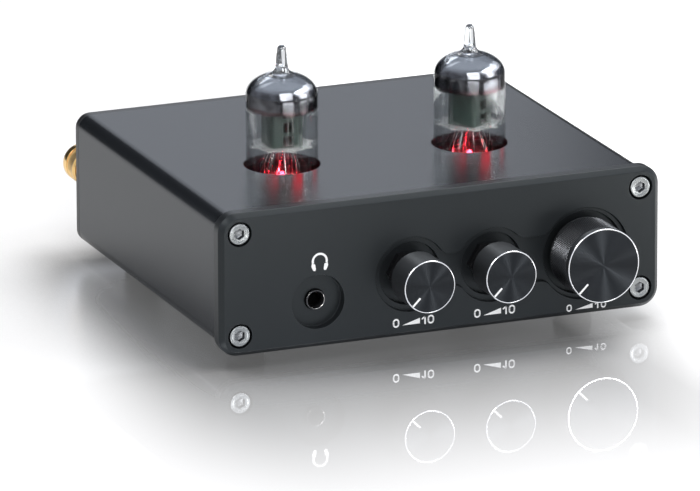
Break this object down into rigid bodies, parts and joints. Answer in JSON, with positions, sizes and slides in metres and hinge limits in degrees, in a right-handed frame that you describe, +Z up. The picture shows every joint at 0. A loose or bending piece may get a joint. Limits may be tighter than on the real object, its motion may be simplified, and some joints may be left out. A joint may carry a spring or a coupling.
{
  "type": "tube phono preamplifier",
  "caption": "Compact desktop phono preamplifier: charcoal metal case, chamfered front with tone and volume knobs and a headphone socket, glass tubes standing through the top.",
  "frame": {"origin": "centre of the footprint, on the surface the rubber feet stand on", "axes": "+Z up, the front panel with the knobs faces -Y, the sockets at the back face +Y, +X to the right seen from the front"},
  "size_m": [0.12, 0.129, 0.0708],
  "materials": {
    "sleeve_charcoal": "satin charcoal anodised, fine bead-blast grain",
    "panel_charcoal": "matt charcoal anodised, chamfered edge",
    "rear_black": "matt black anodised",
    "bright_steel": "bright stainless",
    "foot_rubber": "matt black rubber",
    "board_green": "glass-epoxy board with green solder mask",
    "nylon": "natural nylon",
    "black_plastic": "matt black moulding",
    "plated_steel": "zinc-plated steel",
    "track_carbon": "carbon track on a phenolic ring",
    "spring_bronze": "phosphor bronze spring",
    "shaft_aluminium": "turned aluminium",
    "knob_black": "spun black anodised with a bright cut rim",
    "bright_nickel": "bright nickel plating",
    "gold_plate": "gold plating",
    "insulator_white": "white moulding",
    "insulator_red": "red moulding",
    "tube_glass": "clear blown glass",
    "getter_mirror": "silvery flashed metal film inside the bulb",
    "mica": "pale translucent mica",
    "plate_metal": "dark oxidised sheet metal",
    "electrode_wire": "drawn nickel wire",
    "socket_ceramic": "glazed white ceramic",
    "lamp_red": "diffused red lamp",
    "can_sleeve": "shrink sleeve over an aluminium can",
    "film_red": "dipped film capacitor",
    "resistor_blue": "lacquered metal film resistor"
  },
  "bodies": {
    "chassis": {"chassis_sleeve": "sleeve_charcoal", "front_panel": "panel_charcoal", "rear_panel": "rear_black", "front_panel_screws": "bright_steel", "rear_panel_screws": "bright_steel", "rubber_feet": "foot_rubber", "main_board": "board_green", "tube_board": "board_green", "board_supports": "nylon", "board_header": "black_plastic", "pot_housings": "plated_steel", "pot_rear_covers": "plated_steel", "pot_nuts": "plated_steel", "pot_tracks": "track_carbon", "power_switch": "black_plastic", "headphone_jack_body": "black_plastic", "headphone_jack_bushing": "bright_nickel", "headphone_jack_contacts": "spring_bronze", "rca_housings": "black_plastic", "rca_shells": "bright_nickel", "rca_insulators_white": "insulator_white", "rca_insulators_red": "insulator_red", "rca_centre_contacts": "bright_nickel", "dc_jack_body": "black_plastic", "dc_jack_pin": "bright_nickel", "ground_stud": "gold_plate", "ground_lock_nut": "plated_steel", "tube_sockets": "socket_ceramic", "socket_contacts": "spring_bronze", "tube_lamps": "lamp_red", "electrolytic_capacitors": "can_sleeve", "film_capacitors": "film_red", "resistors": "resistor_blue", "chips": "black_plastic", "voltage_regulator": "black_plastic"},
    "treble_control": {"treble_knob": "knob_black", "treble_shaft": "shaft_aluminium", "treble_wipers": "spring_bronze"},
    "bass_control": {"bass_knob": "knob_black", "bass_shaft": "shaft_aluminium", "bass_wipers": "spring_bronze"},
    "volume_control": {"volume_knob": "knob_black", "volume_shaft": "shaft_aluminium", "volume_wipers": "spring_bronze"},
    "left_tube": {"left_tube_glass": "tube_glass", "left_tube_getter": "getter_mirror", "left_tube_stem": "tube_glass", "left_tube_pins": "electrode_wire", "left_tube_micas": "mica", "left_tube_plate": "plate_metal", "left_tube_electrodes": "electrode_wire"},
    "right_tube": {"right_tube_glass": "tube_glass", "right_tube_getter": "getter_mirror", "right_tube_stem": "tube_glass", "right_tube_pins": "electrode_wire", "right_tube_micas": "mica", "right_tube_plate": "plate_metal", "right_tube_electrodes": "electrode_wire"},
    "ground_slider": {"ground_washer": "gold_plate"},
    "ground_nut": {"ground_thumb_nut": "gold_plate"}
  },
  "joints": [
    {"name": "treble_turn", "type": "hinge", "parent": "chassis", "child": "treble_control", "pos_m": [-0.0082, -0.0525, 0.01965], "axis": [0, 1, 0], "range_deg": [0, 270]},
    {"name": "bass_turn", "type": "hinge", "parent": "chassis", "child": "bass_control", "pos_m": [0.014, -0.0525, 0.01965], "axis": [0, 1, 0], "range_deg": [0, 270]},
    {"name": "volume_turn", "type": "hinge", "parent": "chassis", "child": "volume_control", "pos_m": [0.0393, -0.0525, 0.01965], "axis": [0, 1, 0], "range_deg": [0, 270]},
    {"name": "left_tube_pull", "type": "slide", "parent": "chassis", "child": "left_tube", "axis": [0, 0, 1], "range_m": [0, 0.02]},
    {"name": "right_tube_pull", "type": "slide", "parent": "chassis", "child": "right_tube", "axis": [0, 0, 1], "range_m": [0, 0.02]},
    {"name": "ground_nut_travel", "type": "slide", "parent": "chassis", "child": "ground_slider", "axis": [0, 1, 0], "range_m": [0, 0.0021]},
    {"name": "ground_nut_turn", "type": "hinge", "parent": "ground_slider", "child": "ground_nut", "pos_m": [-0.0533, 0.0604, 0.02305], "axis": [0, 1, 0], "range_deg": [0, 1081]}
  ],
  "couplings": [
    {"joint": "ground_nut_turn", "follows": "ground_nut_travel", "rad_per_m": 8976}
  ]
}
